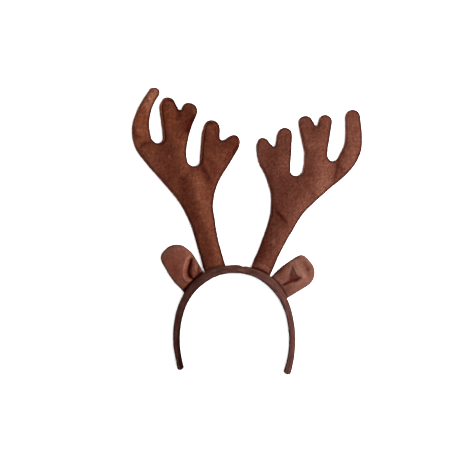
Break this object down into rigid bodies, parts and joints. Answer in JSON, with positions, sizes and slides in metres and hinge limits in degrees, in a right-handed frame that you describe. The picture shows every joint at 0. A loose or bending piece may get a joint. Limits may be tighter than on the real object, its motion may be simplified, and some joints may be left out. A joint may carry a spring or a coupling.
{
  "type": "reindeer antler headband",
  "caption": "Costume headband: a padded, fabric-wrapped springy hoop with two stuffed felt reindeer antlers standing on its crown and a padded velour ear beside each antler.",
  "frame": {"origin": "on the flat back of the hoop, under the middle of its crown", "axes": "+Y from the hoop's open end over its crown towards the antler tips, +Z out of the front, away from the surface it lies on, +X to the right as the front is seen"},
  "size_m": [0.2534, 0.3154, 0.0121],
  "materials": {
    "brown_felt": "brushed, matt",
    "brown_velour": "short pile, matt",
    "dark_brown_fabric": "fine rib, matt"
  },
  "bodies": {
    "root": {"headband": "dark_brown_fabric", "antler_left": "brown_felt", "antler_right": "brown_felt", "ear_left": "brown_velour", "ear_right": "brown_velour"}
  },
  "joints": []
}
